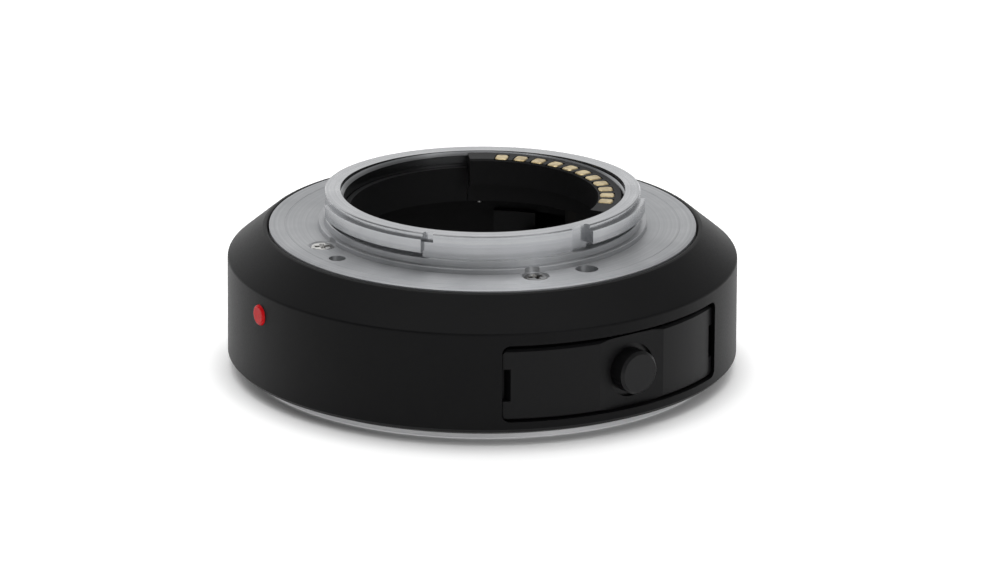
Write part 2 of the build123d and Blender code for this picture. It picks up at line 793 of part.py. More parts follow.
# Lens lock pin: slides in the mount ring and in the barrel, with a collar on the prongs
with BuildPart() as lock_pin:
    with BuildSketch(Plane.XZ) as section:
        with BuildLine():
            Polyline(
                (0, -lock_reach),
                (lock_tip_r, -lock_reach),
                (lock_tip_r, ring_t + slip_gap),
                (lock_body_r, ring_t + slip_gap),
                (lock_body_r, lock_collar_z),
                (lock_collar_r, lock_collar_z),
                (lock_collar_r, lock_collar_z + lock_collar_t),
                (lock_tip_r, lock_collar_z + lock_collar_t),
                (lock_tip_r, lock_top_z),
                (0, lock_top_z),
                close=True,
            )
        make_face()
        chamfer(section.vertices().sort_by_distance((lock_tip_r, -lock_reach))[0], lock_tip_edge)
    revolve(axis=Axis.Z)
lock_pin.part = lock_pin.part.moved(Location(around(0, lock_circle_r)))
finish(lock_pin, "lock_pin")

# Coil that pushes the lock pin out, and the button with it
wire_low_z = lock_collar_z + lock_collar_t + wire_r + end_gap
coil_h = pocket_top_z - wire_r - end_gap - wire_low_z
with BuildPart() as lock_pin_spring:
    with BuildLine() as coil:
        Helix(coil_h / coil_turns, coil_h, coil_r, center=around(0, lock_circle_r, wire_low_z))
    with BuildSketch(Plane(origin=coil.line @ 0, z_dir=coil.line % 0)):
        RegularPolygon(wire_r, wire_sides)
    sweep(path=coil.line, is_frenet=True)
finish(lock_pin_spring, "lock_pin_spring")

# Index bead: a red enamelled stud pressed into the barrel
with BuildPart() as index_bead:
    with BuildSketch(half_plane(bead_angle + 90).offset(barrel_r - bead_d)):
        with Locations((0, bead_z)):
            Circle(bead_r)
    extrude(amount=bead_d + bead_proud)
    round_edges = index_bead.edges().filter_by(GeomType.CIRCLE)
    outside = around(bead_angle, 2 * barrel_r, bead_z)
    fillet(round_edges.sort_by_distance(outside)[0], bead_round)
finish(index_bead, "index_bead")
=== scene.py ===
# %% [markdown]
# # A lens mount adapter, dressed
#
# The adapter is a short black barrel with a silver bayonet on top, for the camera, and another underneath,
# for the lens. The solids come from a CAD program and are loaded here as a fixed frame, in metres, with the
# optical axis along Z. This lesson gives every surface its finish, rebuilds the small repeated pieces with
# more detail than the solids have, and sets up the floor, the light and the camera of a product photograph.

# %% Load the frame
from math import cos, pi, radians, sin

import bpy
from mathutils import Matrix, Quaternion, Vector


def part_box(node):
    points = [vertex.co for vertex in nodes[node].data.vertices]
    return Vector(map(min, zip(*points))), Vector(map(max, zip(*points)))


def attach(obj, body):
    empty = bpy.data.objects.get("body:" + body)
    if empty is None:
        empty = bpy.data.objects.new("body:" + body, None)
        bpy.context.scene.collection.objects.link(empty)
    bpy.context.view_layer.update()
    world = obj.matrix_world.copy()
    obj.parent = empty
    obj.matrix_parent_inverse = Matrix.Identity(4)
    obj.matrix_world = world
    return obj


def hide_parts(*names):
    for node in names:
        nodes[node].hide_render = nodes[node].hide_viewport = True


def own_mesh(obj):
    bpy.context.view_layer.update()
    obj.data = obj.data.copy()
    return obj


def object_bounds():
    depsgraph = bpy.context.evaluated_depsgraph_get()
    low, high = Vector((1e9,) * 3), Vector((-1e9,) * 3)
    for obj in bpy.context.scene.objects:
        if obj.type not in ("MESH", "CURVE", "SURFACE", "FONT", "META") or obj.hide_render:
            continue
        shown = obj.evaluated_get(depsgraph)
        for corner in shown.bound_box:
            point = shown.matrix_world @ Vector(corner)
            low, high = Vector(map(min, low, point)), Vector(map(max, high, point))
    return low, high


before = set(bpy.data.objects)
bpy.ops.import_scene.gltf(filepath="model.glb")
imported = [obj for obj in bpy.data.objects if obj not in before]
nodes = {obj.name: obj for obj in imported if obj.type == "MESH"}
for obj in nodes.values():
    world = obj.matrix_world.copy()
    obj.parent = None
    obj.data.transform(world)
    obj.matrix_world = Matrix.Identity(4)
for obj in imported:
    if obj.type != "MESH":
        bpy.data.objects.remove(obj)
cad_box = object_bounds()
scene = bpy.context.scene
cad_size = [round(1000 * side, 2) for side in cad_box[1] - cad_box[0]]
print(len(nodes), "CAD nodes in a box of", cad_size, "mm")

# %% [markdown]
# ## Three small tools
#
# A shader works with linear light, while colours are easier to choose as the hex values of a paint program.
# One function turns the second into the first. A node tree is a list of nodes and wires, so one function adds
# a node, sets it and wires it in. Patterns are sized in millimetres: a noise of scale 1 repeats about once a
# metre, so a grain of 0.2 mm needs a scale of 1000 / 0.2.

# %% Colour, node and scale
MM = 0.001


def linear(hex_colour):
    """An sRGB hex colour as linear red, green, blue and alpha."""
    shares = [int(hex_colour[at:at + 2], 16) / 255 for at in (1, 3, 5)]
    return [c / 12.92 if c <= 0.04045 else ((c + 0.055) / 1.055) ** 2.4 for c in shares] + [1.0]


def add(tree, kind, inputs, **settings):
    """Add a node. Inputs hold plain values, or the output sockets of other nodes to wire in."""
    node = tree.nodes.new(kind)
    for name, value in settings.items():
        setattr(node, name, value)
    for name, value in inputs.items():
        if isinstance(value, bpy.types.NodeSocket):
            tree.links.new(value, node.inputs[name])
        else:
            node.inputs[name].default_value = value
    return node


def grain(size_mm):
    """The scale at which a texture's features are this size."""
    return 1 / (size_mm * MM)


print("a grain of 0.2 mm has scale", round(grain(0.2)))

# %% [markdown]
# ## Black anodised aluminium, blasted with fine beads
#
# The barrel is turned from aluminium, blasted with glass beads and dyed black as it is anodised. Blasting
# leaves a grain of about a tenth of a millimetre, which scatters light and gives a soft satin sheen that only
# brightens towards the edges. The dyed oxide is porous and reflects less than solid plastic, so the specular
# level is low. The grain is drawn at 0.25 mm, coarser than it is, so that it can show at this picture's size.
# The dye takes a little unevenly, in clouds of some millimetres.

# %% Finish of the barrel
BLASTED_MM = 0.25
DYE_CLOUD_MM = 9.0
barrel_black = bpy.data.materials.new("black anodised aluminium, bead blasted")
barrel_black.use_nodes = True
tree = barrel_black.node_tree
shader = tree.nodes["Principled BSDF"]
shader.inputs["Specular IOR Level"].default_value = 0.1
place = add(tree, "ShaderNodeTexCoord", {}).outputs["Object"]
beads = add(tree, "ShaderNodeTexNoise", {"Vector": place, "Scale": grain(BLASTED_MM), "Detail": 2.0})
dye = add(tree, "ShaderNodeTexNoise", {"Vector": place, "Scale": grain(DYE_CLOUD_MM), "Detail": 3.0})
shade = add(tree, "ShaderNodeValToRGB", {"Fac": dye.outputs["Fac"]})
shade.color_ramp.elements[0].color = linear("#09090a")
shade.color_ramp.elements[1].color = linear("#0f0f10")
sheen = add(tree, "ShaderNodeMapRange", {"Value": beads.outputs["Fac"], "To Min": 0.40, "To Max": 0.52})
relief = add(tree, "ShaderNodeBump",
             {"Height": beads.outputs["Fac"], "Strength": 0.35, "Distance": 0.012 * MM})
tree.links.new(shade.outputs["Color"], shader.inputs["Base Color"])
tree.links.new(sheen.outputs["Result"], shader.inputs["Roughness"])
tree.links.new(relief.outputs["Normal"], shader.inputs["Normal"])
print("made", barrel_black.name)

# %% [markdown]
# ## Turned metal: satin aluminium and chromed brass
#
# Both bayonets are cut on a lathe, so the tool leaves fine rings round the axis, on flat faces and on walls
# alike. The rings smear each reflection across them, which is what makes turned metal look turned. The shader
# calls this anisotropy: the Tangent node gives the direction round the axis, and the highlight is spread
# across it. A noise adds single rings. It takes the radius and the height of a point, and not the angle, so
# it has the same value all the way round. Real rings are some hundredths of a millimetre apart. These are
# 0.3 mm apart, so that they show.
#
# The camera-side flange and the whole lens-side ring are lapped flat after they are turned, so they are
# duller than the tube. Inside the tube the colour is drawn darker, down to 0.4 of itself at the wall. The
# height and the radius of a point tell the shader which of these it is on, because flange and tube are one
# solid.

# %% Finishes of the two bayonets
TURNED_MM = 0.3
HAZE_MM = 5.0
INNER_WALL_MM = (18.55, 18.9)
LAPPED_UP_TO_MM = (19.8, 21.4)
turned = {}
for name, dark, light, smooth, rough in (
    ("aluminium, fine turned and satin plated", "#96989b", "#b9babc", 0.20, 0.27),
    ("brass, turned and chrome plated", "#cfcfd1", "#e0e0e1", 0.22, 0.30),
):
    turned[name] = bpy.data.materials.new(name)
    turned[name].use_nodes = True
    tree = turned[name].node_tree
    shader = tree.nodes["Principled BSDF"]
    shader.inputs["Metallic"].default_value = 1.0
    shader.inputs["Anisotropic"].default_value = 0.72
    shader.inputs["Anisotropic Rotation"].default_value = 0.25
    along = add(tree, "ShaderNodeTangent", {}, direction_type="RADIAL", axis="Z")
    place = add(tree, "ShaderNodeTexCoord", {}).outputs["Object"]
    split = add(tree, "ShaderNodeSeparateXYZ", {"Vector": place})
    flat = add(tree, "ShaderNodeCombineXYZ", {"X": split.outputs["X"], "Y": split.outputs["Y"]})
    radius = add(tree, "ShaderNodeVectorMath", {0: flat.outputs["Vector"]}, operation="LENGTH")
    ring = add(tree, "ShaderNodeCombineXYZ", {"X": radius.outputs["Value"], "Y": split.outputs["Z"]})
    cuts = add(tree, "ShaderNodeTexNoise",
               {"Vector": ring.outputs["Vector"], "Scale": grain(TURNED_MM), "Detail": 3.0})
    haze = add(tree, "ShaderNodeTexNoise", {"Vector": place, "Scale": grain(HAZE_MM), "Detail": 4.0})
    mixed = add(tree, "ShaderNodeMath", {0: cuts.outputs["Fac"], 1: haze.outputs["Fac"]},
                operation="MULTIPLY")
    tint = add(tree, "ShaderNodeValToRGB", {"Fac": mixed.outputs["Value"]})
    tint.color_ramp.elements[0].color = linear(dark)
    tint.color_ramp.elements[1].position = 0.5
    tint.color_ramp.elements[1].color = linear(light)
    # the colour is darker inside the tube: 1.0 outside 18.9 mm, falling to 0.4 at 18.55 mm
    inside = add(tree, "ShaderNodeMapRange", {
        "Value": radius.outputs["Value"], "From Min": INNER_WALL_MM[0] * MM,
        "From Max": INNER_WALL_MM[1] * MM, "To Min": 0.4, "To Max": 1.0})
    shaded = add(tree, "ShaderNodeVectorMath",
                 {0: tint.outputs["Color"], "Scale": inside.outputs["Result"]}, operation="SCALE")
    satin = add(tree, "ShaderNodeMapRange",
                {"Value": haze.outputs["Fac"], "To Min": smooth, "To Max": rough})
    lapped = add(tree, "ShaderNodeMapRange", {
        "Value": split.outputs["Z"], "From Min": LAPPED_UP_TO_MM[0] * MM,
        "From Max": LAPPED_UP_TO_MM[1] * MM, "To Min": 0.29, "To Max": 0.0})
    dulled = add(tree, "ShaderNodeMath", {0: satin.outputs["Result"], 1: lapped.outputs["Result"]},
                 operation="ADD")
    relief = add(tree, "ShaderNodeBump",
                 {"Height": cuts.outputs["Fac"], "Strength": 0.08, "Distance": 0.012 * MM})
    tree.links.new(along.outputs["Tangent"], shader.inputs["Tangent"])
    tree.links.new(shaded.outputs["Vector"], shader.inputs["Base Color"])
    tree.links.new(dulled.outputs["Value"], shader.inputs["Roughness"])
    tree.links.new(relief.outputs["Normal"], shader.inputs["Normal"])
    print("made", name)
turned_aluminium, turned_chrome = turned.values()

# %% [markdown]
# ## Black mouldings
#
# The cover and the button are moulded from ABS in a spark-eroded mould, which leaves a fine even grain, and
# they are a touch smoother than the barrel. The contact block, the carrier and the liner are a glass-filled
# plastic with a dull grain, because they must not throw stray light into the picture. One loop makes the
# three finishes from their colours, roughness, size of grain and specular level.

# %% Finishes of the plastics
moulded = {}
for name, dark, light, smooth, rough, size_mm, level in (
    ("ABS, moulded with a fine grain, black", "#0f0f10", "#141415", 0.34, 0.44, 0.2, 0.12),
    ("ABS, moulded smooth, black", "#121213", "#171718", 0.28, 0.36, 0.3, 0.17),
    ("glass-filled nylon, moulded dull, black", "#0e0e0f", "#141415", 0.46, 0.62, 0.3, 0.15),
):
    moulded[name] = bpy.data.materials.new(name)
    moulded[name].use_nodes = True
    tree = moulded[name].node_tree
    shader = tree.nodes["Principled BSDF"]
    shader.inputs["Specular IOR Level"].default_value = level
    place = add(tree, "ShaderNodeTexCoord", {}).outputs["Object"]
    spark = add(tree, "ShaderNodeTexNoise", {"Vector": place, "Scale": grain(size_mm), "Detail": 2.0})
    shade = add(tree, "ShaderNodeValToRGB", {"Fac": spark.outputs["Fac"]})
    shade.color_ramp.elements[0].color = linear(dark)
    shade.color_ramp.elements[1].color = linear(light)
    sheen = add(tree, "ShaderNodeMapRange",
                {"Value": spark.outputs["Fac"], "To Min": smooth, "To Max": rough})
    relief = add(tree, "ShaderNodeBump",
                 {"Height": spark.outputs["Fac"], "Strength": 0.25, "Distance": 0.01 * MM})
    tree.links.new(shade.outputs["Color"], shader.inputs["Base Color"])
    tree.links.new(sheen.outputs["Result"], shader.inputs["Roughness"])
    tree.links.new(relief.outputs["Normal"], shader.inputs["Normal"])
    print("made", name)
cover_black, button_black, inner_black = moulded.values()

# %% [markdown]
# ## Gold plate, nickel plate and spring steel
#
# The contacts are brass with a thin coat of gold, rubbed by the contacts that slide over them. The screws are
# steel with a bright nickel plate. The springs are drawn or stamped from hard steel and are a little darker.
# All three are metals, so the colour is the colour of their reflection, and a soft noise on the roughness
# gives the rubbed and handled look.

# %% Finishes of the small metal pieces
plated = {}
for name, dark, light, smooth, rough, size_mm in (
    ("brass, gold plated and rubbed", "#9d8961", "#cbba92", 0.26, 0.42, 0.8),
    ("steel, nickel plated bright", "#a5a4a2", "#c6c5c3", 0.06, 0.14, 0.5),
    ("spring steel, drawn", "#77767a", "#949395", 0.24, 0.40, 0.6),
):
    plated[name] = bpy.data.materials.new(name)
    plated[name].use_nodes = True
    tree = plated[name].node_tree
    shader = tree.nodes["Principled BSDF"]
    shader.inputs["Metallic"].default_value = 1.0
    place = add(tree, "ShaderNodeTexCoord", {}).outputs["Object"]
    rub = add(tree, "ShaderNodeTexNoise", {"Vector": place, "Scale": grain(size_mm), "Detail": 3.0})
    tint = add(tree, "ShaderNodeValToRGB", {"Fac": rub.outputs["Fac"]})
    tint.color_ramp.elements[0].position = 0.3
    tint.color_ramp.elements[0].color = linear(dark)
    tint.color_ramp.elements[1].position = 0.65
    tint.color_ramp.elements[1].color = linear(light)
    sheen = add(tree, "ShaderNodeMapRange", {"Value": rub.outputs["Fac"], "To Min": smooth, "To Max": rough})
    tree.links.new(tint.outputs["Color"], shader.inputs["Base Color"])
    tree.links.new(sheen.outputs["Result"], shader.inputs["Roughness"])
    print("made", name)
gold, nickel, spring_steel = plated.values()

# %% [markdown]
# ## Red enamel
#
# The index bead is filled with red enamel, which flows into a smooth skin with a slight orange-peel ripple.
# A thin coat gives it a small clear highlight over the softer one of the colour.

# %% Finish of the bead
RIPPLE_MM = 0.9
enamel = bpy.data.materials.new("enamel, flowed, red")
enamel.use_nodes = True
tree = enamel.node_tree
shader = tree.nodes["Principled BSDF"]
shader.inputs["Coat Weight"].default_value = 0.05
shader.inputs["Coat Roughness"].default_value = 0.08
shader.inputs["Specular IOR Level"].default_value = 0.1
place = add(tree, "ShaderNodeTexCoord", {}).outputs["Object"]
ripple = add(tree, "ShaderNodeTexNoise", {"Vector": place, "Scale": grain(RIPPLE_MM), "Detail": 1.0})
tint = add(tree, "ShaderNodeValToRGB", {"Fac": ripple.outputs["Fac"]})
tint.color_ramp.elements[0].color = linear("#b8060f")
tint.color_ramp.elements[1].color = linear("#dc0d17")
sheen = add(tree, "ShaderNodeMapRange", {"Value": ripple.outputs["Fac"], "To Min": 0.2, "To Max": 0.3})
relief = add(tree, "ShaderNodeBump",
             {"Height": ripple.outputs["Fac"], "Strength": 0.3, "Distance": 0.02 * MM})
tree.links.new(tint.outputs["Color"], shader.inputs["Base Color"])
tree.links.new(sheen.outputs["Result"], shader.inputs["Roughness"])
tree.links.new(relief.outputs["Normal"], shader.inputs["Normal"])
print("made", enamel.name)

# %% [markdown]
# ## A flexible circuit
#
# The flexible circuit is polyimide film under a black cover layer. Its copper tracks run from the row of pins
# up to the pads, and show through the cover layer as faint ridges. They follow the angle round the axis, one
# for each pin, 7.4 degrees apart. A Ping-Pong node turns the angle into a row of equal ridges.

# %% Finish of the flexible circuit
HALF_TRACK = radians(3.7)
film = bpy.data.materials.new("polyimide film with a black cover layer, laminated")
film.use_nodes = True
tree = film.node_tree
shader = tree.nodes["Principled BSDF"]
shader.inputs["Specular IOR Level"].default_value = 0.2
place = add(tree, "ShaderNodeTexCoord", {}).outputs["Object"]
split = add(tree, "ShaderNodeSeparateXYZ", {"Vector": place})
angle = add(tree, "ShaderNodeMath", {0: split.outputs["Y"], 1: split.outputs["X"]}, operation="ARCTAN2")
steps = add(tree, "ShaderNodeMath", {0: angle.outputs["Value"], 1: 1 / HALF_TRACK}, operation="MULTIPLY")
across = add(tree, "ShaderNodeMath", {0: steps.outputs["Value"], 1: 1.0}, operation="PINGPONG")
track = add(tree, "ShaderNodeValToRGB", {"Fac": across.outputs["Value"]})
track.color_ramp.elements[0].position = 0.45
track.color_ramp.elements[0].color = linear("#0c0b0a")
track.color_ramp.elements[1].position = 0.55
track.color_ramp.elements[1].color = linear("#191512")
relief = add(tree, "ShaderNodeBump",
             {"Height": across.outputs["Value"], "Strength": 0.3, "Distance": 0.03 * MM})
sheen = add(tree, "ShaderNodeMapRange", {"Value": across.outputs["Value"], "To Min": 0.32, "To Max": 0.45})
tree.links.new(track.outputs["Color"], shader.inputs["Base Color"])
tree.links.new(relief.outputs["Normal"], shader.inputs["Normal"])
tree.links.new(sheen.outputs["Result"], shader.inputs["Roughness"])
print("made", film.name)

# %% [markdown]
# ## Dress the CAD nodes
#
# The shapes of most solids are right as they are, so they only change their finish. A CAD object is never
# moved, and its mesh is left alone. Its material slot takes the new finish.

# %% Put the finishes on
finishes = {
    "main_body": barrel_black,
    "camera_mount": turned_aluminium,
    "lens_mount": turned_chrome,
    "button_cover": cover_black,
    "release_button": button_black,
    "camera_contact_block": inner_black,
    "light_baffle": inner_black,
    "lens_contact_carrier": inner_black,
    "lens_mount_spring": spring_steel,
    "lock_pin": nickel,
    "flex_circuit": film,
    "index_bead": enamel,
}
CONTACT_PINS = range(1, 10)
for number in CONTACT_PINS:
    finishes[f"lens_contact_pin_{number}"] = gold
for node, finish in finishes.items():
    nodes[node].data.materials.clear()
    nodes[node].data.materials.append(finish)
print("dressed", len(finishes), "nodes")

# %% [markdown]
# ## A tree and a mould
#
# Screws, pads and coils repeat, so each kind gets one Geometry Nodes tree with named sizes. Three functions
# start a tree, end it, and run it on a set of points. The result is kept as a plain mesh, because instances
# and live modifiers don't survive an export. Sizes go in by the socket's identifier, since two sockets may
# share a name.

# %% Start a tree, end it and run it
SHARP_FROM = radians(32)


def start_tree(name, sizes):
    """An empty tree with a geometry input, named number inputs, a material input and a geometry output."""
    tree = bpy.data.node_groups.new(name, "GeometryNodeTree")
    tree.interface.new_socket("Points", in_out="INPUT", socket_type="NodeSocketGeometry")
    for size in sizes:
        tree.interface.new_socket(size, in_out="INPUT", socket_type="NodeSocketFloat")
    tree.interface.new_socket("Finish", in_out="INPUT", socket_type="NodeSocketMaterial")
    tree.interface.new_socket("Piece", in_out="OUTPUT", socket_type="NodeSocketGeometry")
    return tree, add(tree, "NodeGroupInput", {}).outputs


def end_tree(tree, geometry, inputs):
    """Make instances real, give them the finish and send them out."""
    real = add(tree, "GeometryNodeRealizeInstances", {"Geometry": geometry})
    finished = add(tree, "GeometryNodeSetMaterial",
                   {"Geometry": real.outputs[0], "Material": inputs["Finish"]})
    add(tree, "NodeGroupOutput", {"Piece": finished.outputs[0]})


def grow(name, tree, points, sizes, finish):
    """Run a tree on some points and keep what it makes as a plain mesh, riding on the barrel."""
    mesh = bpy.data.meshes.new(name)
    mesh.from_pydata(points, [], [])
    piece = bpy.data.objects.new(name, mesh)
    modifier = piece.modifiers.new("tree", "NODES")
    modifier.node_group = tree
    for socket in tree.interface.items_tree:
        if socket.in_out == "INPUT" and socket.name in sizes:
            modifier[socket.identifier] = sizes[socket.name]
        if socket.in_out == "INPUT" and socket.name == "Finish":
            modifier[socket.identifier] = finish
    scene.collection.objects.link(piece)
    evaluated = piece.evaluated_get(bpy.context.evaluated_depsgraph_get())
    grown = bpy.data.meshes.new_from_object(evaluated)
    piece.modifiers.clear()
    piece.data = grown
    grown.shade_smooth()
    grown.set_sharp_from_angle(angle=SHARP_FROM)
    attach(piece, "barrel")
    print(name, "has", len(grown.polygons), "faces")
    return piece


def around(angle, radius_mm, height_mm):
    """A point at an angle from the release button, in metres."""
    return (radius_mm * MM * sin(radians(angle)), -radius_mm * MM * cos(radians(angle)), height_mm * MM)


print("the release button looks along", [round(x, 3) for x in around(0, 1000, 0)])

# %% [markdown]
# ## Screws
#
# Four countersunk screws hold each bayonet, and seven small pan-head screws hold the mouldings. Both kinds
# are turned shapes with a cross recess, so one tree makes both: it takes a cylinder of five rings, moves each
# ring to its own radius and height, and cuts a tapered cross with a Boolean. It then sets a screw on each
# point, turned at random from a fixed seed, because nobody lines up the slots. Heads that look down are
# turned over by a flag. The tree works in millimetres, where the Boolean is safer, and scales the screw at
# the end.

# %% The screw's tree: the turned blank
SCREW_SIDES = 40
screw_sizes = ("Head radius", "Head rise", "Head depth", "Head edge", "Neck radius", "Shank radius", "Length",
               "Cross length", "Cross width", "Cross depth", "Turned over", "Seed")
tree, size = start_tree("screw with a cross recess", screw_sizes)
blank = add(tree, "GeometryNodeMeshCylinder",
            {"Vertices": SCREW_SIDES, "Side Segments": 4, "Radius": 1.0, "Depth": 4.0})
position = add(tree, "GeometryNodeInputPosition", {}).outputs[0]
split = add(tree, "ShaderNodeSeparateXYZ", {0: position})
ring = add(tree, "ShaderNodeMath", {0: 2.0, 1: split.outputs["Z"]}, operation="SUBTRACT")
under_edge = add(tree, "ShaderNodeMath", {0: size["Head rise"], 1: size["Head edge"]}, operation="SUBTRACT")
top_radius = add(tree, "ShaderNodeMath", {0: size["Head radius"], 1: size["Head edge"]}, operation="SUBTRACT")
neck_z = add(tree, "ShaderNodeMath", {0: size["Head depth"], 1: -1.0}, operation="MULTIPLY")
end_z = add(tree, "ShaderNodeMath", {0: size["Length"], 1: -1.0}, operation="MULTIPLY")
ring_radii = (top_radius.outputs[0], size["Head radius"], size["Neck radius"], size["Shank radius"],
              size["Shank radius"])
ring_heights = (size["Head rise"], under_edge.outputs[0], neck_z.outputs[0], neck_z.outputs[0],
                end_z.outputs[0])
shape = []
for values in (ring_radii, ring_heights):
    pick = add(tree, "GeometryNodeIndexSwitch", {}, data_type="FLOAT")
    while len(pick.index_switch_items) < len(values):
        pick.index_switch_items.new()
    tree.links.new(ring.outputs[0], pick.inputs[0])
    for item, value in enumerate(values, start=1):
        tree.links.new(value, pick.inputs[item])
    shape.append(pick.outputs[0])
wide = add(tree, "ShaderNodeVectorMath", {0: position, "Scale": shape[0]}, operation="SCALE")
wide_split = add(tree, "ShaderNodeSeparateXYZ", {0: wide.outputs[0]})
ring_place = add(tree, "ShaderNodeCombineXYZ",
                 {"X": wide_split.outputs["X"], "Y": wide_split.outputs["Y"], "Z": shape[1]})
lathed = add(tree, "GeometryNodeSetPosition",
             {"Geometry": blank.outputs["Mesh"], "Position": ring_place.outputs[0]})
closed = add(tree, "GeometryNodeMergeByDistance", {"Geometry": lathed.outputs[0], "Distance": 0.001})
print(tree.name, "has", len(tree.nodes), "nodes so far")

# %% The screw's tree: the cross recess and the places
CROSS_TAPER = 0.62
deep = add(tree, "ShaderNodeMath", {0: size["Cross depth"], 1: 2.0}, operation="MULTIPLY")
wings = []
for across, along in (("Cross length", "Cross width"), ("Cross width", "Cross length")):
    block = add(tree, "ShaderNodeCombineXYZ", {"X": size[across], "Y": size[along], "Z": deep.outputs[0]})
    cube = add(tree, "GeometryNodeMeshCube", {"Size": block.outputs[0]})
    corner = add(tree, "GeometryNodeInputPosition", {})
    low = add(tree, "ShaderNodeSeparateXYZ", {0: corner.outputs[0]})
    is_low = add(tree, "ShaderNodeMath", {0: low.outputs["Z"], 1: 0.0}, operation="LESS_THAN")
    taper = add(tree, "ShaderNodeVectorMath", {0: corner.outputs[0], 1: (CROSS_TAPER, CROSS_TAPER, 1.0)},
                operation="MULTIPLY")
    wing = add(tree, "GeometryNodeSetPosition", {
        "Geometry": cube.outputs["Mesh"], "Selection": is_low.outputs[0], "Position": taper.outputs[0]})
    lift = add(tree, "ShaderNodeCombineXYZ", {"Z": size["Head rise"]})
    wings.append(add(tree, "GeometryNodeTransform",
                     {"Geometry": wing.outputs[0], "Translation": lift.outputs[0]}))
slotted = add(tree, "GeometryNodeMeshBoolean", {"Mesh 1": closed.outputs[0]}, operation="DIFFERENCE")
for wing in wings:
    tree.links.new(wing.outputs[0], slotted.inputs["Mesh 2"])
flip = add(tree, "ShaderNodeMath", {0: size["Turned over"], 1: pi}, operation="MULTIPLY")
spin = add(tree, "FunctionNodeRandomValue", {"Min": 0.0, "Max": pi / 2, "Seed": size["Seed"]},
           data_type="FLOAT")
euler = add(tree, "ShaderNodeCombineXYZ", {"X": flip.outputs[0], "Z": spin.outputs["Value"]})
turn = add(tree, "FunctionNodeEulerToRotation", {0: euler.outputs[0]})
placed = add(tree, "GeometryNodeInstanceOnPoints", {
    "Points": size["Points"], "Instance": slotted.outputs[0], "Rotation": turn.outputs[0],
    "Scale": (MM, MM, MM)})
end_tree(tree, placed.outputs[0], size)
screw_tree = tree
print(screw_tree.name, "has", len(screw_tree.nodes), "nodes")

# %% Set the screws in their places
flat_head = {"Head radius": 1.64, "Head rise": 0.0, "Head edge": 0.2, "Head depth": 0.85, "Neck radius": 0.85,
             "Shank radius": 0.85, "Length": 4.5, "Cross length": 2.5, "Cross width": 0.8,
             "Cross depth": 0.85}
pan_head = {"Head radius": 0.95, "Head rise": 0.6, "Head edge": 0.22, "Head depth": 0.0, "Neck radius": 0.95,
            "Shank radius": 0.5, "Length": 1.8, "Cross length": 1.1, "Cross width": 0.28, "Cross depth": 0.4}
for node, head, angles, radius_mm, height_mm, turned_over, seed in (
    ("camera_mount_screws", flat_head, (-19.0, -101.4, 95.0, 161.0), 23.2, 19.34, 0.0, 3.0),
    ("lens_mount_screws", flat_head, (45.0, 135.0, 225.0, 315.0), 28.3, 0.08, 1.0, 5.0),
    ("contact_block_screws", pan_head, (34.0, 145.0), 19.55, 16.9, 1.0, 7.0),
    ("baffle_screws", pan_head, (189.0, 269.0, 349.0), 19.55, 16.9, 1.0, 9.0),
    ("carrier_screws", pan_head, (45.5, 133.5), 23.45, 11.0, 1.0, 11.0),
):
    points = [around(angle, radius_mm, height_mm) for angle in angles]
    sizes = {**head, "Turned over": turned_over, "Seed": seed}
    screws = grow("cross_" + node, screw_tree, points, sizes, nickel)
    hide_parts(node)

# %% [markdown]
# ## Gold pads
#
# Eleven pads lie in an arc on the contact block. Each is a small plate with round corners and a soft edge.
# The tree lays out points along the arc by their number, fills a rounded outline, raises it, and draws the
# top in a little for the soft edge. A row of equal steps round an axis is a rule, so nothing is placed by
# hand.

# %% The pads' tree
EDGE_DRAWN_IN = 0.88
pad_sizes = ("Count", "Pitch", "Middle", "Circle radius", "Length", "Width", "Corner", "Thickness", "Edge",
             "Height")
tree, size = start_tree("pads on an arc", pad_sizes)
row = add(tree, "GeometryNodeMeshLine", {"Count": size["Count"]})
last = add(tree, "ShaderNodeMath", {0: size["Count"], 1: 1.0}, operation="SUBTRACT")
half = add(tree, "ShaderNodeMath", {0: last.outputs[0], 1: 0.5}, operation="MULTIPLY")
number = add(tree, "GeometryNodeInputIndex", {})
step = add(tree, "ShaderNodeMath", {0: number.outputs[0], 1: half.outputs[0]}, operation="SUBTRACT")
angle = add(tree, "ShaderNodeMath", {0: step.outputs[0], 1: size["Pitch"], 2: size["Middle"]},
            operation="MULTIPLY_ADD")
cosine = add(tree, "ShaderNodeMath", {0: angle.outputs[0]}, operation="COSINE")
sine = add(tree, "ShaderNodeMath", {0: angle.outputs[0]}, operation="SINE")
direction = add(tree, "ShaderNodeCombineXYZ", {"X": cosine.outputs[0], "Y": sine.outputs[0]})
out = add(tree, "ShaderNodeVectorMath", {0: direction.outputs[0], "Scale": size["Circle radius"]},
          operation="SCALE")
up = add(tree, "ShaderNodeCombineXYZ", {"Z": size["Height"]})
pad_place = add(tree, "ShaderNodeVectorMath", {0: out.outputs[0], 1: up.outputs[0]}, operation="ADD")
arc = add(tree, "GeometryNodeSetPosition", {"Geometry": row.outputs[0], "Position": pad_place.outputs[0]})
outline = add(tree, "GeometryNodeCurvePrimitiveQuadrilateral",
              {"Width": size["Length"], "Height": size["Width"]})
rounded = add(tree, "GeometryNodeFilletCurve",
              {"Curve": outline.outputs[0], "Radius": size["Corner"], "Count": 5}, mode="POLY")
face = add(tree, "GeometryNodeFillCurve", {"Curve": rounded.outputs[0]}, mode="NGONS")
wall = add(tree, "ShaderNodeMath", {0: size["Thickness"], 1: size["Edge"]}, operation="SUBTRACT")
raised = add(tree, "GeometryNodeExtrudeMesh", {"Mesh": face.outputs[0], "Offset Scale": wall.outputs[0]})
edged = add(tree, "GeometryNodeExtrudeMesh", {
    "Mesh": raised.outputs["Mesh"], "Selection": raised.outputs["Top"], "Offset Scale": size["Edge"]})
drawn_in = add(tree, "GeometryNodeScaleElements", {
    "Geometry": edged.outputs["Mesh"], "Selection": edged.outputs["Top"], "Scale": EDGE_DRAWN_IN})
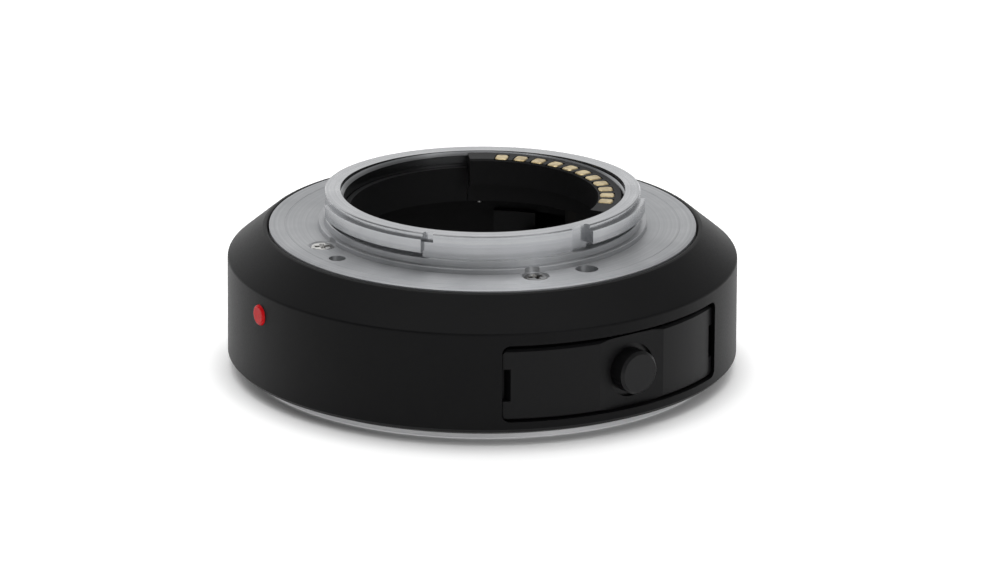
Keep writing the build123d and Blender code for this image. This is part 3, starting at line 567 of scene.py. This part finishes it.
euler = add(tree, "ShaderNodeCombineXYZ", {"Z": angle.outputs[0]})
turn = add(tree, "FunctionNodeEulerToRotation", {0: euler.outputs[0]})
placed = add(tree, "GeometryNodeInstanceOnPoints", {
    "Points": arc.outputs[0], "Instance": drawn_in.outputs[0], "Rotation": turn.outputs[0]})
end_tree(tree, placed.outputs[0], size)
print(tree.name, "has", len(tree.nodes), "nodes")

# %% Lay the pads on the contact block
pads = grow("gold_contact_pads", tree, [], {
    "Count": 11.0, "Pitch": radians(9.05), "Middle": radians(-0.5), "Circle radius": 16.45 * MM,
    "Length": 1.9 * MM, "Width": 1.65 * MM, "Corner": 0.45 * MM, "Thickness": 0.5 * MM, "Edge": 0.1 * MM,
    "Height": 23.01 * MM}, gold)
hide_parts("camera_contact_pads")

# %% [markdown]
# ## Coil springs
#
# A coil pushes the lock pin out, and a small one stands behind each contact pin. They are hidden, but they
# are what makes the button come back, so they are modelled as wire. A spiral curve with a round wire along it
# is all that a coil is.

# %% The coils' tree
tree, size = start_tree("coil of wire", ("Turns", "Coil radius", "Height", "Wire radius"))
spiral = add(tree, "GeometryNodeCurveSpiral", {
    "Resolution": 20, "Rotations": size["Turns"], "Start Radius": size["Coil radius"],
    "End Radius": size["Coil radius"], "Height": size["Height"]})
wire = add(tree, "GeometryNodeCurvePrimitiveCircle", {"Resolution": 8, "Radius": size["Wire radius"]})
coil = add(tree, "GeometryNodeCurveToMesh", {
    "Curve": spiral.outputs[0], "Profile Curve": wire.outputs[0], "Fill Caps": True})
placed = add(tree, "GeometryNodeInstanceOnPoints", {"Points": size["Points"], "Instance": coil.outputs[0]})
end_tree(tree, placed.outputs[0], size)
coil_tree = tree
print(coil_tree.name, "has", len(coil_tree.nodes), "nodes")

# %% Set the coils behind their pins
LOCK_COIL_END = 0.18 * MM
CONTACT_COIL_END = 0.08 * MM
low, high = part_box("lock_pin_spring")
foot = ((low.x + high.x) / 2, (low.y + high.y) / 2, low.z + LOCK_COIL_END)
lock_coil = grow("lock_pin_coil", coil_tree, [foot], {
    "Turns": 5.0, "Coil radius": 1.45 * MM, "Height": high.z - low.z - 2 * LOCK_COIL_END,
    "Wire radius": 0.16 * MM}, spring_steel)
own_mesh(lock_coil)
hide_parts("lock_pin_spring")
low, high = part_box("contact_coils")
for number in CONTACT_PINS:
    pin_low, pin_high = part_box(f"lens_contact_pin_{number}")
    foot = ((pin_low.x + pin_high.x) / 2, (pin_low.y + pin_high.y) / 2, low.z + CONTACT_COIL_END)
    small_coil = grow(f"contact_coil_{number}", coil_tree, [foot], {
        "Turns": 6.0, "Coil radius": 0.58 * MM, "Height": high.z - low.z - 2 * CONTACT_COIL_END,
        "Wire radius": 0.07 * MM}, spring_steel)
    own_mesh(small_coil)
    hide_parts("contact_coils")

# %% [markdown]
# ## Floor
#
# The set is a white sweep with soft light from above. The floor is a plain white sheet. It gets a little
# light of its own where a mirror sees it, and where the camera sees it some millimetres away from the barrel.
# That brings it up to pure white. Round the foot of the barrel the camera sees none of this light, and that
# paints a shadow there on top of the shadow from the lamps. Its centre sits a little in front of the axis, so
# the painted shadow is longer in front. The sheet lies just under the lens-side mount, where a table would
# push the tip of the sprung lock pin in.

# %% Floor
VIEW_AZIMUTH = radians(-36.4)
SHEET = 6.0
FLOOR_Z = -0.02 * MM
GLOW = 0.35
PAINTED_SHADOW_MM = (30.5, 36.3)
PAINTED_SHADOW_LEAN = 1.5 * MM
scene.view_settings.view_transform = "Standard"
floor_mesh = bpy.data.meshes.new("floor")
corners = [(x * SHEET, y * SHEET, FLOOR_Z) for x, y in ((-1, -1), (1, -1), (1, 1), (-1, 1))]
floor_mesh.from_pydata(corners, [], [(0, 1, 2, 3)])
floor = bpy.data.objects.new("floor", floor_mesh)
scene.collection.objects.link(floor)
paper = bpy.data.materials.new("white paper, matt")
paper.use_nodes = True
tree = paper.node_tree
path = add(tree, "ShaderNodeLightPath", {})
place = add(tree, "ShaderNodeTexCoord", {}).outputs["Object"]
# painted shadow: the camera sees no glow within these radii of a point a little in front of the axis
painted_shadow_middle = (PAINTED_SHADOW_LEAN * sin(VIEW_AZIMUTH), -PAINTED_SHADOW_LEAN * cos(VIEW_AZIMUTH), FLOOR_Z)
away = add(tree, "ShaderNodeVectorMath", {0: place, 1: painted_shadow_middle}, operation="DISTANCE")
glow_outside_painted_shadow = add(tree, "ShaderNodeMapRange", {
    "Value": away.outputs["Value"], "From Min": PAINTED_SHADOW_MM[0] * MM, "From Max": PAINTED_SHADOW_MM[1] * MM})
seen = add(tree, "ShaderNodeMath", {0: path.outputs["Is Camera Ray"], 1: glow_outside_painted_shadow.outputs["Result"]},
           operation="MULTIPLY")
for ray in ("Is Glossy Ray", "Is Transmission Ray"):
    seen = add(tree, "ShaderNodeMath", {0: seen.outputs[0], 1: path.outputs[ray]}, operation="MAXIMUM")
glow = add(tree, "ShaderNodeMath", {0: seen.outputs[0], 1: GLOW}, operation="MULTIPLY")
shader = tree.nodes["Principled BSDF"]
shader.inputs["Base Color"].default_value = linear("#f3f3f3")
shader.inputs["Roughness"].default_value = 0.9
shader.inputs["Specular IOR Level"].default_value = 0.0
shader.inputs["Emission Color"].default_value = linear("#ffffff")
tree.links.new(glow.outputs[0], shader.inputs["Emission Strength"])
floor_mesh.materials.append(paper)
print("the floor lies at", round(FLOOR_Z / MM, 2), "mm")

# %% [markdown]
# ## World
#
# The world is white to the camera. As a light it is a dim room, with a bright wall behind the object and some
# light from above and from the front. A dot product with a direction tells how far a ray looks that way, and
# a smooth step turns that into a soft-edged patch of light. Smooth metal shows what is round it, so mirrored
# rays also see a pale horizon all round, brightest behind.

# %% The room as a light
LIGHT_SLOPE = radians(68)
WALL_AZIMUTH = VIEW_AZIMUTH + radians(18)
to_light = (-sin(VIEW_AZIMUTH) * cos(LIGHT_SLOPE), cos(VIEW_AZIMUTH) * cos(LIGHT_SLOPE), sin(LIGHT_SLOPE))
to_front = (sin(VIEW_AZIMUTH), -cos(VIEW_AZIMUTH), 0)
to_wall = (-sin(WALL_AZIMUTH), cos(WALL_AZIMUTH), 0)
world = bpy.data.worlds.new("white sweep")
world.use_nodes = True
scene.world = world
tree = world.node_tree
sky = add(tree, "ShaderNodeTexCoord", {}).outputs["Generated"]
patches = []
for direction, start, end, dim, bright in (
    (to_light, 0.62, 0.95, 0.03, 0.9),
    (to_front, 0.4, 0.9, 0.0, 0.55),
    (to_wall, 0.62, 0.86, 0.0, 1.0),
):
    facing = add(tree, "ShaderNodeVectorMath", {0: sky, 1: direction}, operation="DOT_PRODUCT")
    patch = add(tree, "ShaderNodeMapRange", {
        "Value": facing.outputs["Value"], "From Min": start, "From Max": end,
        "To Min": dim, "To Max": bright}, interpolation_type="SMOOTHSTEP")
    patches.append(patch.outputs["Result"])
top, front, rear = patches
room = add(tree, "ShaderNodeMath", {0: top, 1: front}, operation="ADD")
room = add(tree, "ShaderNodeMath", {0: room.outputs[0], 1: rear}, operation="MAXIMUM")
print("the room has", len(patches), "patches of light")

# %% The horizon in mirrors, and white for the camera
path = add(tree, "ShaderNodeLightPath", {})
mirror_ray = add(tree, "ShaderNodeMath",
                 {0: path.outputs["Is Glossy Ray"], 1: path.outputs["Is Transmission Ray"]},
                 operation="MAXIMUM")
rise = add(tree, "ShaderNodeSeparateXYZ", {"Vector": sky})
low = add(tree, "ShaderNodeMapRange", {
    "Value": rise.outputs["Z"], "From Min": 0.5, "From Max": 0.75, "To Min": 1.0, "To Max": 0.0},
    interpolation_type="SMOOTHSTEP")
horizon = add(tree, "ShaderNodeMapRange", {"Value": rear, "To Min": 0.5, "To Max": 1.0})
horizon = add(tree, "ShaderNodeMath", {0: horizon.outputs["Result"], 1: low.outputs["Result"]},
              operation="MULTIPLY")
mirrored = add(tree, "ShaderNodeMath", {0: mirror_ray.outputs[0], 1: horizon.outputs[0]},
               operation="MULTIPLY")
seen = add(tree, "ShaderNodeMath", {0: path.outputs["Is Camera Ray"], 1: mirrored.outputs[0]},
           operation="MAXIMUM")
level = add(tree, "ShaderNodeMath", {0: room.outputs[0], 1: seen.outputs[0]}, operation="MAXIMUM")
background = tree.nodes["Background"]
background.inputs["Color"].default_value = linear("#ffffff")
tree.links.new(level.outputs[0], background.inputs["Strength"])
print(world.name, "has", len(tree.nodes), "nodes")

# %% [markdown]
# ## Lamps
#
# Three lamps finish the light: a wide ceiling that isn't mirrored, so that it lights the black barrel without
# a glare on it, a softbox overhead and a little behind, which the flange mirrors, and a small softbox in
# front.

# %% Lamps
for name, place, wide, high, watts, in_mirrors in (
    ("ceiling", (0.0, 0.2, 1.6), 2.0, 2.0, 10.0, False),
    ("overhead softbox", (0.25, 0.34, 1.5), 1.6, 1.4, 9.0, True),
    ("front softbox", (0.0, -1.0, 0.5), 0.5, 0.7, 2.0, True),
):
    lamp = bpy.data.lights.new(name, "AREA")
    lamp.shape = "RECTANGLE"
    lamp.size = wide
    lamp.size_y = high
    lamp.energy = watts
    softbox = bpy.data.objects.new(name, lamp)
    softbox.location = place
    softbox.rotation_mode = "QUATERNION"
    softbox.rotation_quaternion = (-Vector(place)).to_track_quat("-Z", "Y")
    softbox.visible_camera = False
    softbox.visible_glossy = in_mirrors
    scene.collection.objects.link(softbox)
    print(name, watts, "W")

# %% [markdown]
# ## Camera
#
# The picture was taken with a long lens from about 1.3 m: the two ends of the barrel are drawn almost
# alike, so there is hardly any perspective. The angles come from the ellipses of the flange, whose height
# against width gives the elevation, and from the direction of the button.

# %% Camera
VIEW_ELEVATION = radians(18.78)
VIEW_ROLL = radians(0.31)
VIEW_DISTANCE = 1.3
AIM_RIGHT, AIM_UP = 2.55 * MM, 9.55 * MM
back = Vector((sin(VIEW_AZIMUTH) * cos(VIEW_ELEVATION), -cos(VIEW_AZIMUTH) * cos(VIEW_ELEVATION),
               sin(VIEW_ELEVATION)))
level_gaze = (-back).to_track_quat("-Z", "Y")
aim = level_gaze @ Vector((AIM_RIGHT, AIM_UP, 0))
lens = bpy.data.cameras.new("long lens")
lens.sensor_width = 36.0
lens.lens = 351.06
lens.clip_end = 50.0
camera = bpy.data.objects.new("camera", lens)
camera.location = back * VIEW_DISTANCE
camera.rotation_mode = "QUATERNION"
gaze = (aim - camera.location).to_track_quat("-Z", "Y")
camera.rotation_quaternion = gaze @ Quaternion((0, 0, 1), VIEW_ROLL)
scene.collection.objects.link(camera)
scene.camera = camera
print("camera at", [round(x, 3) for x in camera.location])
